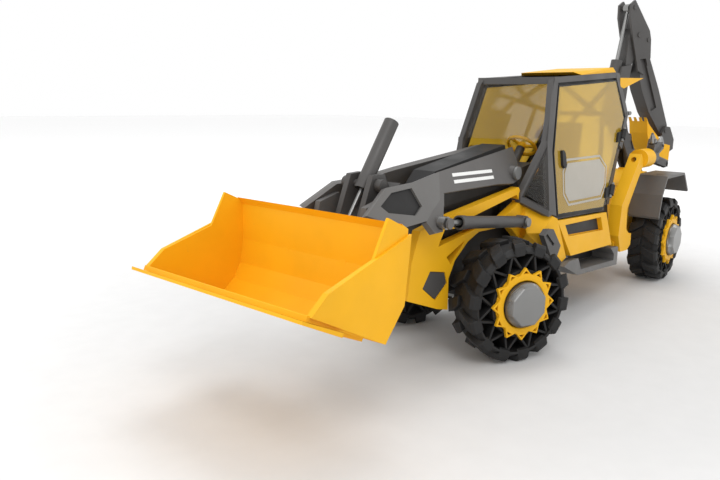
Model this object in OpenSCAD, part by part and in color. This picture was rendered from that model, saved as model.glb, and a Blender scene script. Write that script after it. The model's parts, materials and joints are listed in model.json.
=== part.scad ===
// Toy backhoe loader, about one sixteenth of real size.
// Side coordinates run forward (x) and up (z) from the ground under the rear axle.

/* [Wheels] */
// Outer radius of every tyre
tyre_r = 40; // [39:0.5:41]
// Width of every tyre
tyre_w = 27.4; // [25:0.1:28]
// Inner radius of the tread band
band_r = 32.4; // [31:0.1:34]
// Radius of the star rim's tips
star_r = 24.2; // [23:0.1:25]
// Radius of the octagonal hub cap
hub_r = 15; // [13:0.1:16]
// Number of tips on a star rim
star_tips = 12; // [10:1:14]
// Half of the rear track
rear_half_track = 49; // [48.5:0.1:50]

/* [Steering] */
// Forward place of the kingpins
kingpin_x = 278.5; // [278:0.1:279]
// Half of the distance between the kingpins
kingpin_y = 30; // [29.8:0.1:30.5]
// Distance from a kingpin to the middle of its wheel
kingpin_arm = 18.3; // [18:0.1:18.6]
// Angle of both front wheels to the right
steer_angle = 24.3; // [20:0.1:25]

/* [Cab] */
// Lean of the cab's sides
side_lean = 7.75; // [7.5:0.05:8]
// Half width of the cab at ground level, where its leaning side would meet the ground
side_y0 = 55.7; // [55.5:0.1:56]
// Thickness of the door glass
glass_t = 1.6; // [1.2:0.1:2]

/* [Loader] */
// Lean of the loader arms
arm_lean = 21.2; // [20.5:0.1:21.8]
// Thickness of a loader arm
arm_t = 4; // [3.6:0.1:4.2]
// Half width of the loader bucket's shell
bucket_half_w = 60.8; // [58:0.1:62]

/* [Backhoe] */
// Swing of the backhoe towards the left side
swing_angle = 20; // [10:1:24]
// Forward place of the swing pin
swing_x = -30; // [-31:0.1:-29.5]

/* [Hidden] */
// Distance from the rear axle to the middle of the whole length
mid_x = 198.2;
yellow = [0.98, 0.72, 0.16];
dark = [0.27, 0.27, 0.27];
grey = [0.48, 0.48, 0.47];
steel = [0.75, 0.75, 0.76];
black = [0.12, 0.12, 0.12];
amber_glass = [0.85, 0.72, 0.35, 0.5];
clear_glass = [0.8, 0.88, 0.9, 0.4];
axle_z = tyre_r;
axle_r = 2.5;
run = 0.05;
arm_pivot = [243, 117.5];
lift_base = [248, 84.5];
lift_pin = [345.4, 96];
lift_y = 32.5;
bucket_pivot = [406, 66];
tilt_pivot = [380, 119];
tilt_pin = [401.7, 87.8];
boom_foot = [-58, 80];
stick_pin = [-28, 234];
crowd_pin = [-18, 259];
crowd_base = [2, 150];
boom_cyl_base = [-46, 92];
boom_cyl_pin = [-26, 158];
dig_pin = [-80, 140];
door_low_pin = [115.6, 96.1];
door_high_pin = [83.2, 140.8];
door_rise = door_high_pin[1] - door_low_pin[1];
door_slant = -atan2(door_low_pin[0] - door_high_pin[0], door_rise / cos(side_lean));
stab_z = 48;
stab_y = 43;
$fn = 64;

// Everything is drawn from the rear axle and then centred on the whole length.
module centred() translate([-mid_x, 0, 0]) children();

// A side outline in x and z, given thickness from y0 to y1.
module slab(outline, y0, y1) translate([0, y1, 0]) rotate([90, 0, 0]) linear_extrude(y1 - y0) polygon(outline);

// A round bar across the vehicle.
module bar(at, r, y0, y1) translate([at[0], y0, at[1]]) rotate([-90, 0, 0]) cylinder(h = y1 - y0, r = r);

// A convex block through its corner points.
module block(corners) hull() for (c = corners) translate(c) cube(0.2, center = true);

// A square bar between two points.
module strut(a, b, t) hull() for (c = [a, b]) translate(c) cube(t, center = true);

module both_sides() {
    children();
    mirror([0, 1, 0]) children();
}

// ---------------------------------------------------------------- wheels
module wheel_place(at, turn, side) {
    translate([at[0], at[1], axle_z]) rotate([0, 0, turn]) mirror([0, side < 0 ? 1 : 0, 0]) children();
}

module front_place(side) {
    arm = [sin(steer_angle), side * cos(steer_angle)];
    away = side > 0 ? arm : [-arm[0], arm[1]];
    wheel_place([kingpin_x, side * kingpin_y] + kingpin_arm * away, -steer_angle, side) children();
}

module rear_place(side) wheel_place([0, side * rear_half_track], 0, side) children();

module ring_y(r_out, r_in, y0, y1) difference() {
    bar([0, 0], r_out, y0, y1);
    bar([0, 0], r_in, y0 - 1, y1 + 1);
}

function polar(r, a) = [r * cos(a), r * sin(a)];

// A thick airless tyre: two rings of triangular holes leave a zigzag of spokes.
module tyre() color(black) {
    half = tyre_w / 2;
    pitch = 360 / star_tips;
    difference() {
        rotate([-90, 0, 0]) rotate_extrude() polygon([[20, -half], [tyre_r - 3, -half], [tyre_r, -half + 4],
                                                      [tyre_r, half - 4], [tyre_r - 3, half], [20, half]]);
        for (i = [0:star_tips - 1]) rotate([0, i * pitch, 0]) translate([0, tyre_w, 0]) rotate([90, 0, 0])
            linear_extrude(2 * tyre_w) {
                polygon([polar(25, 0), polar(band_r - 0.6, -0.39 * pitch), polar(band_r - 0.6, 0.39 * pitch)]);
                polygon([polar(band_r - 3.4, pitch / 2), polar(22.6, 0.12 * pitch), polar(22.6, 0.88 * pitch)]);
            }
    }
}

module star_rim() color(yellow) {
    half = tyre_w / 2;
    ring_y(19.98, 18, -half + 1, half);
    ring_y(19.4, 18, half - 0.5, half + 0.5);
    difference() {
        union() {
            bar([0, 0], 18.5, 4, 7);
            bar([0, 0], 6, -8, 4.5);
        }
        bar([0, 0], axle_r + run, -10, 6);
    }
    difference() {
        translate([0, half + 1.9, 0]) rotate([90, 0, 0]) linear_extrude(1.9) union() {
            circle(r = 19.5);
            for (i = [0:star_tips - 1]) rotate(i * 360 / star_tips)
                polygon([[18.5, -5.2], [star_r, 0], [18.5, 5.2]]);
        }
        bar([0, 0], hub_r - 1, 0, 30);
    }
}

module hub_cap() color(steel) {
    half = tyre_w / 2;
    translate([0, half + 1.9, 0]) rotate([-90, 22.5, 0]) hull() {
        cylinder(h = 0.6, r = hub_r, $fn = 8);
        translate([0, 0, 5]) cylinder(h = 0.6, r = hub_r - 2.5, $fn = 8);
    }
    ring_y(hub_r - 1.1, hub_r - 3, 7.1, half + 2);
}

// ---------------------------------------------------------------- steering
module knuckle() color(dark) {
    // drawn at the kingpin, its stub axle along +y
    difference() {
        union() {
            for (z = [-10.6, 7.3]) translate([-4, -4, z]) cube([8, 14, 3.3]);
            translate([-4, 7, -10.6]) cube([8, 3, 21.2]);
            translate([-17, -2.5, -10.6]) cube([16, 5, 3.3]);
        }
        translate([0, 0, -12]) cylinder(h = 24, r = 2);
    }
    translate([0, 0, -10.6]) cylinder(h = 21.2, r = 1.98);
    bar([0, 0], axle_r, 9, kingpin_arm + 5);
    translate([-14, 0, -14.4]) cylinder(h = 4, r = 1.5);
}

module knuckle_place(side) {
    translate([kingpin_x, side * kingpin_y, axle_z]) rotate([0, 0, -steer_angle])
        mirror([0, side < 0 ? 1 : 0, 0]) children();
}

module front_axle_beam() color(dark) centred() difference() {
    union() {
        translate([kingpin_x - 6, -26.5, axle_z - 6.8]) cube([12, 53, 13.6]);
        for (side = [-1, 1]) translate([kingpin_x, side * kingpin_y, axle_z - 6.8]) cylinder(h = 13.6, r = 4);
        translate([kingpin_x - 9, -8, axle_z + 6.7]) cube([18, 16, 6]);
    }
    for (side = [-1, 1]) translate([kingpin_x, side * kingpin_y, 20]) cylinder(h = 40, r = 2 + run);
}

module tie_rod() color(steel) centred() {
    shift = 14 * sin(steer_angle);
    half = kingpin_y + 2.5;
    difference() {
        translate([kingpin_x, shift, axle_z - 14.2]) linear_extrude(3.2)
            polygon([[-9.5, half], [-15.4, half], [-18.5, half - 3.4], [-18.5, 3.4 - half], [-15.4, -half],
                     [-9.5, -half]]);
        for (side = [-1, 1])
            translate([kingpin_x - 15.7, side * kingpin_y + shift - 1.7, 20]) cube([5.4, 3.4, 20]);
    }
}

// ---------------------------------------------------------------- chassis
frame_outline = [[233, 96], [243, 107.6], [323, 95.5], [350, 89.5], [357, 71], [360, 48], [331, 37], [319.5, 34],
                 [320, 55], [314, 66], [301, 76.5], [289, 81.5], [262, 81.5], [249, 78.5], [238, 70], [231, 58]];
window_upper = [[245, 102.5], [240.5, 96.8], [261.5, 87.5], [297, 92.6]];
window_middle = [[326, 87.5], [282, 85.5], [332, 77.5]];
window_lower = [[323, 69.5], [318.5, 64], [306, 76], [304, 78]];

module frame_plate() {
    difference() {
        slab(frame_outline, 20, 26);
        for (w = [window_upper, window_middle, window_lower]) slab(w, 10, 30);
        slab([[339, 63], [346, 53], [333, 43], [321.5, 52], [324, 60]], 24.4, 30);
    }
}

// Both side frames come closer together towards the nose.
module tapered() translate([245, 26, 0]) rotate([0, 0, -3.9]) translate([-245, -26, 0]) children();

module chassis_side() color(yellow) difference() {
    union() {
        tapered() frame_plate();
        block([[232.5, 26, 96], [232.5, 21, 96], [221, 43.6, 86], [242, 34, 75.5], [234.5, 41, 75.5], [212, 46.3, 49.5],
               [200, 46.3, 53], [216, 44.4, 84], [232.5, 21, 60], [205, 30, 52], [221, 21, 90]]);
    }
    bar(lift_base, 1.8, 10, 40);
    // the cab's front feet and pillars are let in
    front_feet(4.1);
    cab_side();
}
module chassis_left() centred() chassis_side();
module chassis_right() centred() mirror([0, 1, 0]) chassis_side();

module chassis_core() color(dark) centred() {
    // tunnel, nose and floor tub
    difference() {
        translate([95.8, -12.8, 42]) cube([230.2, 25.6, 38]);
        translate([kingpin_x - 9, -13, 41]) cube([18, 26, 11.7]);
    }
    slab([[326, 40], [352, 45], [352, 84], [326, 92]], -12.5, 12.5);
    difference() {
        translate([104.6, -41, 66]) cube([102, 82, 17]);
        both_sides() side_slab([[90, 60], [90, 90], [240, 90], [240, 60]], -6, 20);
    }
    translate([118, -24, 50]) cube([84, 48, 16]);
    difference() {
        translate([236, -8, 80]) cube([14, 16, 43]);
        bar(arm_pivot, 2.51, -20, 20);
    }
    // engine cover between the side frames
    translate([255, -12.8, 80]) cube([60, 25.6, 12]);
}

module chassis_guards() color(dark) centred() both_sides() {
    tapered() slab([[338.5, 62.5], [345.3, 53], [333, 43.8], [322, 52.3], [324.4, 59.6]], 24.4, 25.6);
    difference() {
        slab([[246, 76.5], [240, 80], [231, 79], [217, 65], [222, 58], [230, 57]], 45.2, 49);
        slab([[243, 75.6], [240.6, 77], [228, 68], [230, 66.6]], 47.5, 50);
    }
}

module rear_frame() color(yellow) centred() {
    difference() {
        union() {
            slab([[-14, 46], [95.8, 46], [95.8, 88], [60, 96], [-14, 102]], -31, 31);
            for (z = [52, 96]) translate([0, 0, z]) {
                translate([-30, -8, 0]) cube([20, 16, 5]);
                translate([swing_x, 0, 0]) cylinder(h = 5, r = 8);
            }
        }
        slab([[-8, 52], [90, 52], [90, 82], [58, 90], [-8, 96]], -24, 24);
        translate([swing_x, 0, 40]) cylinder(h = 80, r = 3.01);
    }
    translate([swing_x, 0, 50.5]) cylinder(h = 52, r = 3);
    // housings of the rear axle
    difference() {
        translate([-9, -30, 33]) cube([18, 60, 13]);
        bar([0, axle_z], axle_r + run, -40, 40);
    }
    // an ear behind each stabiliser holds its pin
    both_sides() {
        translate([65.6, 31, 43]) cube([6, 17, 10]);
        translate([70, stab_y, stab_z]) rotate([0, 90, 0]) cylinder(h = 33.6, r = 2);
        translate([102, stab_y, stab_z]) rotate([0, 90, 0]) cylinder(h = 1.6, r = 3.4);
    }
}

module rear_axle() color(steel) centred() bar([0, axle_z], axle_r, -rear_half_track - 5, rear_half_track + 5);

module hood() color(dark) centred() difference() {
    block([[236, 9.3, 136], [236, -9.3, 136], [321, 8.2, 122.5], [321, -8.2, 122.5], [332, 8.2, 112],
           [332, -8.2, 112], [236, 16, 108], [236, -16, 108], [326, 10.5, 98], [326, -10.5, 98], [252, 14, 93],
           [252, -14, 93]]);
    translate([230, -8.3, 80]) cube([20.5, 16.6, 43.5]);
    bar(arm_pivot, 2.6, -30, 30);
}

module pivot_pins() color(steel) centred() {
    bar(arm_pivot, 2.5, -24.5, 24.5);
    for (s = [-1, 1]) {
        bar(arm_pivot, 4.6, s > 0 ? 23.6 : -25.4, s > 0 ? 25.4 : -23.6);
        bar(lift_base, 1.75, s > 0 ? 20 : -37, s > 0 ? 37 : -20);
        bar(lift_base, 3.3, s > 0 ? 36.9 : -38.4, s > 0 ? 38.4 : -36.9);
    }
    both_sides() for (p = [door_low_pin, door_high_pin]) door_pin(p);
}

// The door pins lie along the slanted rear edge of each door.
module on_door_axis(p) {
    lean_in = side_y0 + 2.4 - p[1] * tan(side_lean);
    translate([p[0], lean_in, p[1]])
        rotate([side_lean, 0, 0]) rotate([0, door_slant, 0]) children();
}
module door_pin(p) on_door_axis(p) translate([0, 0, -7]) cylinder(h = 14, r = 1.2);

// ---------------------------------------------------------------- cab
module in_side_plane() translate([0, side_y0, 0]) rotate([side_lean, 0, 0]) children();
module side_slab(outline, t0, t1) in_side_plane() slab(outline, t0, t1);

module cab_side() {
    // front pillar, roof rail, rear pillar and sill, all in the leaning side plane
    side_slab([[202.6, 182], [218.2, 133.5], [216.8, 87], [228, 89.5], [225.2, 139], [212, 182.3]], -4, 0);
    side_slab([[88, 190], [88, 194.6], [209, 186], [211, 182.3], [202.6, 182.2]], -4, 0);
    side_slab([[87.4, 190], [69.6, 157.3], [62.5, 158.2], [80, 194.5], [88, 194.5]], -4, 0);
    side_slab([[69.6, 157], [86, 133], [80, 129.5], [62.5, 158]], -4, -0.4);
    side_slab([[86, 133], [120.5, 84.7], [109.6, 84.7], [79.8, 129.8]], -6.2, -2.6);
    side_slab([[122, 84], [222, 88], [222, 84.5], [122, 80.6]], -5, -2.4);
}

// The lower front pillars and their feet on the side frames.
module front_feet(t) {
    strut([224, 34.6, 137.5], [240, 25.5, 101], t);
    strut([227, 41.5, 89], [240, 25.5, 99], t);
    strut([240, 10, 100], [240, 25, 100], t);
}

module cab_bars() {
    both_sides() front_feet(4);
    strut([207, -29, 182], [207, 29, 182], 5);
    strut([224, -34, 137.5], [208, -29.5, 181], 3.4);
    strut([224, 34, 137.5], [208, 29.5, 181], 3.4);
    strut([85, -27, 190], [85, 27, 190], 5);
    strut([66, -32.5, 157.5], [66, 32.5, 157.5], 4);
    strut([113, -40, 85.5], [113, 40, 85.5], 4);
    strut([84, -27, 188], [67, 6, 158], 3);
    strut([84, 27, 188], [67, -6, 158], 3);
    strut([67, -12, 157], [112, -32, 87], 3);
    strut([67, 12, 157], [112, 32, 87], 3);
}

module cab_frame() color(dark) centred() {
    both_sides() cab_side();
    cab_bars();
    block([[87, 27.5, 191.5], [87, -27.5, 191.5], [206, 28, 183.5], [206, -28, 183.5], [87, 27.5, 188.5],
           [87, -27.5, 188.5], [206, 28, 181], [206, -28, 181]]);
}

module roof_cap() color(yellow) centred() difference() {
    union() {
        block([[150, 26, 188.2], [150, -26, 188.2], [158, 22, 190.2], [158, -22, 190.2], [84, 25, 197],
               [84, -25, 197], [82, 27, 193.2], [82, -27, 193.2]]);
        both_sides() block([[79, 30.4, 188.5], [76, 26, 188.5], [79, 30.8, 181.5], [72, 31.5, 180], [76, 26, 181.5],
                            [24, 31, 190.3], [60, 25.5, 188.5]]);
    }
    both_sides() cab_side();
    cab_bars();
}

module cab_glass() color(clear_glass) centred() difference() {
    cab_panes();
    both_sides() cab_side();
    cab_bars();
}

module cab_panes() {
    // windshield, its lower part, the small side panes and the rear panes
    block([[208.4, 26.5, 178.8], [208.4, -26.5, 178.8], [222.6, 31.7, 139.4], [222.6, -31.7, 139.4],
           [207.4, 26.5, 178.8], [207.4, -26.5, 178.8], [221.6, 31.7, 139.4], [221.6, -31.7, 139.4]]);
    both_sides() block([[225.6, 36.1, 131], [226.4, 36.1, 131], [228.2, 41.2, 92.5], [227.2, 41.6, 92.5],
                        [237, 26.6, 103.5], [236, 26.6, 103.5]]);
    block([[84.8, 22, 184], [84.8, -22, 184], [72.1, 29, 161.5], [72.1, -29, 161.5],
           [84.2, 22, 184], [84.2, -22, 184], [71.5, 29, 161.5], [71.5, -29, 161.5]]);
}

module side_panels() color(yellow) centred() both_sides() difference() {
    side_slab([[215.4, 83.4], [196.2, 54.4], [114.8, 50.8], [122.6, 79]], -6, 0);
    side_slab([[203, 78.6], [198, 69.4], [131.8, 65.4], [134.6, 76.4]], -3.6, 1);
}

module side_steps() color(grey) centred() both_sides() {
    difference() {
        slab([[212.4, 48.6], [198.2, 53.9], [187, 53.2], [114, 50], [104, 46.6], [104, 31.4], [186.4, 37.5]], 28, 51);
        slab([[188, 51.4], [122, 48.8], [112.4, 42], [112.4, 36.6], [181, 41]], 32, 52);
        // the upper rear corner tucks in under the door panel
        side_slab([[240, 90], [240, 53], [90, 47.4], [90, 90]], -6.4, 10);
    }
}

module seat() color(dark) centred() {
    translate([128, -13, 83.2]) cube([26, 26, 12]);
    block([[126, 17, 96], [126, -17, 96], [162, 15, 98], [162, -15, 98], [126, 17, 104], [126, -17, 104],
           [162, 15, 104.5], [162, -15, 104.5]]);
    block([[121, 15, 105], [121, -15, 105], [131, 15, 105], [131, -15, 105], [112, 13, 150], [112, -13, 150],
           [118.5, 13, 150], [118.5, -13, 150]]);
}

module dashboard() color(dark) centred() {
    block([[204, 12, 83.4], [204, -12, 83.4], [222, 12, 83.4], [222, -12, 83.4], [206, 17, 122], [206, -17, 122],
           [226, 17, 119], [226, -17, 119]]);
    // steering column, square to the wheel
    translate([205, 0, 118]) rotate([0, -40, 0]) cylinder(h = 17.7, r = 3.4);
    translate([205, 0, 118]) rotate([0, -40, 0]) cylinder(h = 22, r = 1.6);
}

module steering_wheel() color(yellow) centred() translate([205, 0, 118]) rotate([0, -40, 0]) {
    translate([0, 0, 20]) rotate_extrude() translate([11, 0]) circle(r = 1.3, $fn = 24);
    difference() {
        translate([0, 0, 18.2]) cylinder(h = 3.6, r = 3.2);
        translate([0, 0, 10]) cylinder(h = 20, r = 1.65);
    }
    for (a = [90, 210, 330]) rotate(a) translate([2.5, -1, 19]) cube([8, 2, 1.8]);
}

door_outline = [[201.8, 180.4], [216.2, 132.4], [215, 87], [128, 83.2], [117.6, 97], [89.6, 132.6], [72.8, 156.2],
                [88.6, 188.2]];
module door_glass() color(amber_glass) side_slab(door_outline, -glass_t, 0);

module door_fittings() color(dark) {
    for (p = [door_low_pin, door_high_pin]) difference() {
        union() {
            on_door_axis(p) translate([0, 0, -4.6]) cylinder(h = 9.2, r = 2.3);
            side_slab([p + [-2, 4], p + [9, 3], p + [12, -5], p + [1, -4.6]], 0.02, 1.8);
        }
        on_door_axis(p) translate([0, 0, -9]) cylinder(h = 18, r = 1.25);
    }
    side_slab([[205.4, 133.6], [203.2, 133.6], [200.4, 131.6], [199, 122.4], [200.6, 120.4], [203, 120.6],
               [205.4, 123]], 0.05, 2);
}

// ---------------------------------------------------------------- fenders
module rear_fenders() color(dark) centred() both_sides() {
    slab([[40, 64], [41.5, 66], [38, 86], [28, 102.5], [-26, 102.5], [-44, 84], [-42, 82.6], [-25, 100.3],
          [26.6, 100.3], [35.6, 85.4]], 35.5, 63);
    // bracket from the rear frame up to the fender's top
    translate([-14, 31, 88]) cube([40, 7, 13]);
}

// ---------------------------------------------------------------- loader arms
module in_arm_plane() translate([0, 26, 105]) rotate([arm_lean, 0, 0]) translate([0, 0, -105]) children();
// heights along the leaning face
function up(z) = 105 + (z - 105) / cos(arm_lean);
function leaned(pts) = [for (p = pts) [p[0], up(p[1])]];

arm_rear = [[234, 135], [332, 124], [339, 108], [336.5, 104], [333, 111.5], [268, 111.6], [247, 110.5], [237.5, 112.5],
            [233, 122]];
ring_out = [[332, 124], [360, 120], [385, 119], [407, 106.5], [380, 97], [357, 98], [348.5, 102.5], [339, 102]];
ring_in = [[382, 116], [363, 117], [358, 106.5], [366, 102], [389, 106], [394, 110]];

lift_lug = [[333, 111], [344.5, 90.5], [353, 90.5], [358, 97.5], [349, 103]];

module arm() color(dark) {
    difference() {
        union() {
            in_arm_plane() slab(leaned(arm_rear), -arm_t, 0);
            // backing behind the light plate, with the boss of the lift rod
            in_arm_plane() slab(leaned(concat(ring_out, [[336, 104]])), -arm_t, -1.6);
            difference() {
                in_arm_plane() slab(leaned(lift_lug), -arm_t, 0);
                bar(lift_pin, 4.3, 29.8, 40);
            }
            bar(arm_pivot, 5, 15.5, 23.4);
            bar(lift_pin, 1.75, 25, 36.5);
            bar(lift_pin, 3.6, 26, 29.9);
            bar(lift_pin, 3.3, 36.2, 37.6);
            // leg down to the bucket pivot
            slab([[384, 113], [400, 109], [411, 68], [408, 61], [402, 61.5], [380, 100]], 15.4, 19.2);
        }
        bar(arm_pivot, axle_r + run, 0, 40);
        bar(bucket_pivot, 2 + run, 0, 40);
    }
}
module arm_left() centred() arm();
module arm_right() centred() mirror([0, 1, 0]) arm();

module arm_plates() color(grey) centred() both_sides() difference() {
    in_arm_plane() slab(leaned(ring_out), -1.58, 0);
    in_arm_plane() {
        slab(leaned(ring_in), -3, 3);
        slab(leaned(arm_rear), -3, 3);
        slab(leaned(lift_lug), -3, 3);
    }
    bar(lift_pin, 3.7, 20, 40);
}

module loader_yoke() color(dark) centred() {
    difference() {
        union() {
            slab([[356, 116], [366, 119.5], [376, 112], [372, 101], [360, 101]], -15.3, 15.3);
            for (s = [-1, 1]) slab([[366, 112], [374, 125], [384, 124.5], [388, 115], [394, 100], [386, 96],
                                    [370, 101.5]], s > 0 ? 6.4 : -10, s > 0 ? 10 : -6.4);
        }
        bar(tilt_pivot, 2 + run, -20, 20);
        slab([[365, 128], [376.5, 100], [392, 94], [400, 128]], -6.4, 6.4);
    }
}

// ---------------------------------------------------------------- loader bucket
wall_outline = [[484, 78], [474, 86], [443, 95], [433, 113], [418, 106], [421, 69], [435, 53]];
module bucket_shell_section() {
    // curved back sheet and floor, two millimetres thick
    difference() {
        polygon([[433, 115], [418, 106], [418.5, 84], [421, 69], [426.5, 59.5], [435, 53], [486, 76.6], [485, 78.8]]);
        polygon([[433, 117], [424, 110.5], [420.6, 105], [420.8, 84], [423.2, 70], [428.4, 61.4], [435.6, 55.6],
                 [490, 81.5]]);
    }
}
module loader_bucket() color(yellow) centred() {
    translate([0, bucket_half_w, 0]) rotate([90, 0, 0]) linear_extrude(2 * bucket_half_w) bucket_shell_section();
    both_sides() {
        slab(wall_outline, bucket_half_w - 1.6, bucket_half_w);
        slab([[484, 78], [474, 86], [417, 103.5], [421, 69], [435, 53]], bucket_half_w, bucket_half_w + 1.4);
    }
    // hinge ears on the back
    for (s = [-1, 1]) difference() {
        union() {
            slab([[419.4, 96], [402, 72], [400.5, 64], [404, 60.5], [410, 60.5], [423.2, 66]], s > 0 ? 19.5 : -23.5,
                 s > 0 ? 23.5 : -19.5);
            slab([[419.3, 104], [400, 93], [397.5, 87], [401, 83], [420.2, 78]], s > 0 ? 6 : -9, s > 0 ? 9 : -6);
        }
        bar(tilt_pin, 2 + run, -30, 30);
    }
    for (s = [-1, 1]) bar(bucket_pivot, 2, s > 0 ? 14.6 : -23, s > 0 ? 23 : -14.6);
}

module cutting_edge() color(yellow) centred() {
    slab([[434.6, 52.6], [435.6, 51], [458, 61], [457.2, 62.6]], -48, 48);
    slab([[466, 67.3], [467, 65.4], [491, 77.2], [490.6, 78.8], [486.3, 76.6]], -64, 64);
}

// ---------------------------------------------------------------- cylinders
// Turns +z to point from one place to another in the side plane.
function side_tilt(a, b) = atan2(b[0] - a[0], b[1] - a[1]);
module aimed(a, b, y = 0) translate([a[0], y, a[1]]) rotate([0, side_tilt(a, b), 0]) children();

module tilt_barrel() color(dark) centred() aimed(tilt_pin, tilt_pivot) {
    reach = norm(tilt_pivot - tilt_pin);
    difference() {
        translate([0, 0, reach - 4]) cylinder(h = 46, r = 4.5);
        translate([0, 0, reach - 5]) cylinder(h = 45, r = 4);
    }
    for (s = [-1, 1]) translate([0, 0, reach]) rotate([s * 90, 0, 0]) translate([0, 0, 4.2]) cylinder(h = 10, r = 2);
    for (s = [-1, 1]) translate([0, 0, reach]) rotate([s * 90, 0, 0]) translate([0, 0, 10.4]) cylinder(h = 4, r = 3.6);
}

module tilt_rod() color(steel) centred() aimed(tilt_pin, tilt_pivot) {
    translate([0, 0, 2.5]) cylinder(h = 47, r = 1.3);
    rotate([90, 0, 0]) translate([0, 0, -9.6]) cylinder(h = 19.2, r = 2);
    rotate([90, 0, 0]) translate([0, 0, -3.5]) cylinder(h = 7, r = 3.4);
}

module lift_barrels() color(dark) centred() both_sides() aimed(lift_base, lift_pin, lift_y) {
    difference() {
        union() {
            translate([0, 0, 2]) cylinder(h = 80, r = 4);
            rotate([90, 0, 0]) translate([0, 0, -3.6]) cylinder(h = 7.2, r = 4.4);
            translate([0, 0, 76]) cylinder(h = 6, r = 4.4);
        }
        translate([0, 0, 8]) cylinder(h = 90, r = 3.4);
        rotate([90, 0, 0]) translate([0, 0, -10]) cylinder(h = 20, r = 1.8);
    }
}

module lift_rods() color(steel) centred() both_sides() aimed(lift_pin, lift_base, lift_y) difference() {
    union() {
        translate([0, 0, 3]) cylinder(h = 80, r = 1.8);
        rotate([90, 0, 0]) translate([0, 0, -2.4]) cylinder(h = 4.8, r = 3.9);
    }
    rotate([90, 0, 0]) translate([0, 0, -10]) cylinder(h = 20, r = 1.8);
}

// ---------------------------------------------------------------- stabilisers
module stabiliser() color(yellow) {
    difference() {
        union() {
            slab([[80, 40], [96, 41], [104, 56], [102, 82], [66, 124], [56, 117], [88, 78], [86, 60], [72, 50],
                  [72, 44]], 40.2, 50.2);
            translate([36, 45.2, 119]) rotate([0, 90, 0]) cylinder(h = 22, r = 8.5);
        }
        translate([60, stab_y, stab_z]) rotate([0, 90, 0]) cylinder(h = 60, r = 2 + run);
        translate([20, 45.2, 119]) rotate([0, 90, 0]) cylinder(h = 60, r = 2.2 + run);
    }
}
module stabiliser_left() centred() stabiliser();
module stabiliser_right() centred() mirror([0, 1, 0]) stabiliser();

module claw() {
    color(dark) {
        translate([18, 45.2, 119]) rotate([0, 90, 0]) cylinder(h = 42, r = 2.2);
        translate([22, 45.2, 119]) rotate([0, 90, 0]) cylinder(h = 12, r = 7);
        for (tip = claw_tips) strut([28, 45.2, 119], tip[0], 6);
    }
    color(steel) for (tip = claw_tips) translate(tip[0]) rotate(tip[1]) cylinder(h = 9, r1 = 3.6, r2 = 0.8);
}
claw_tips = [[[32.4, 48, 133], [0, 20, 0]], [[18, 50, 130], [0, -20, 0]], [[0, 50, 112], [0, -80, 0]]];
module claw_left() centred() claw();
module claw_right() centred() mirror([0, 1, 0]) claw();

// ---------------------------------------------------------------- backhoe
module swung() centred() translate([swing_x, 0, 0]) rotate([0, 0, -swing_angle]) translate([-swing_x, 0, 0]) children();

module swing_post() color(yellow) swung() difference() {
    union() {
        translate([swing_x, 0, 57.3]) cylinder(h = 38.4, r = 8);
        slab([[-30, 62], [-48, 70], [-64, 72], [-66, 84], [-56, 90], [-30, 94]], -12, 12);
    }
    translate([swing_x, 0, 40]) cylinder(h = 80, r = 3 + run);
    difference() {
        slab([[-39, 55], [-80, 55], [-80, 100], [-38.6, 100]], -8.4, 8.4);
        slab([[-30, 84], [-30, 95], [-46, 95], [-49.5, 92], [-47, 88.6], [-38, 84]], -2.4, 2.4);
    }
    bar(boom_foot, 2.5 + run, -20, 20);
    bar(boom_cyl_base, 2, -20, 20);
}

boom_low = [[-8, 203], [-5, 190], [-4, 165], [-14.4, 138], [-52.5, 76], [-57, 71.5], [-64, 75], [-65, 83], [-41, 116], [-26, 141], [-17, 166], [-19, 190], [-22, 205]];
boom_top = [[-22, 200], [-15.8, 200], [-15.6, 214], [-17, 232], [-22, 239.5], [-30, 240.5], [-34, 236], [-33, 228]];
module boom() color(dark) swung() difference() {
    union() {
        for (s = [-1, 1]) slab(boom_low, s > 0 ? 5.6 : -8, s > 0 ? 8 : -5.6);
        // web that joins the two plates behind the crowd cylinder
        slab([[-20.4, 129.6], [-15.2, 138], [-11, 148], [-8.6, 157], [-9, 165], [-11.2, 178], [-13.4, 190],
              [-15.8, 203], [-22, 204], [-19, 190], [-17, 168], [-14, 156], [-14, 150], [-18, 139], [-23, 131]], -6, 6);
        slab(boom_top, -5.4, 5.4);
        for (s = [-1, 1]) bar(boom_foot, 2.5, s > 0 ? 7 : -13, s > 0 ? 13 : -7);
        slab([[-13, 142], [2, 146.4], [5.4, 150], [2, 153.2], [-4.8, 152.6], [-7, 156], [-11, 158]], -2.4, 2.4);
        bar(crowd_base, 2, -5.2, 5.2);
    }
    for (s = [-1, 1]) slab([[-20, 158], [-12, 150], [-28, 122], [-36, 122]], s > 0 ? 7 : -10, s > 0 ? 10 : -7);
    bar(stick_pin, 2.5 + run, -20, 20);
    bar(boom_cyl_pin, 2 + run, -20, 20);
}

stick_head = [[-12.5, 262], [-18, 266], [-43, 239], [-46, 231], [-48, 213], [-40, 196], [-31, 200], [-21, 226],
              [-13, 250]];
stick_leg = [[-47.6, 214], [-67, 182], [-86, 146], [-85, 137], [-78, 134], [-72, 141], [-55, 159], [-41, 181],
             [-36, 192], [-38, 214]];
module stick() color(dark) swung() {
    difference() {
        union() {
            for (s = [-1, 1]) slab(stick_head, s > 0 ? 5.8 : -8, s > 0 ? 8 : -5.8);
            slab(stick_leg, -7, 7);
        }
        for (s = [-1, 1]) slab([[-33, 211], [-41, 212], [-66, 164], [-58, 160]], s > 0 ? 5 : -9, s > 0 ? 9 : -5);
        bar(dig_pin, 2 + run, -20, 20);
    }
    bar(stick_pin, 2.5, -8.8, 8.8);
    bar(crowd_pin, 2, -8.8, 8.8);
    bar([-42, 230], 2, -8.8, 8.8);
}

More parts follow.
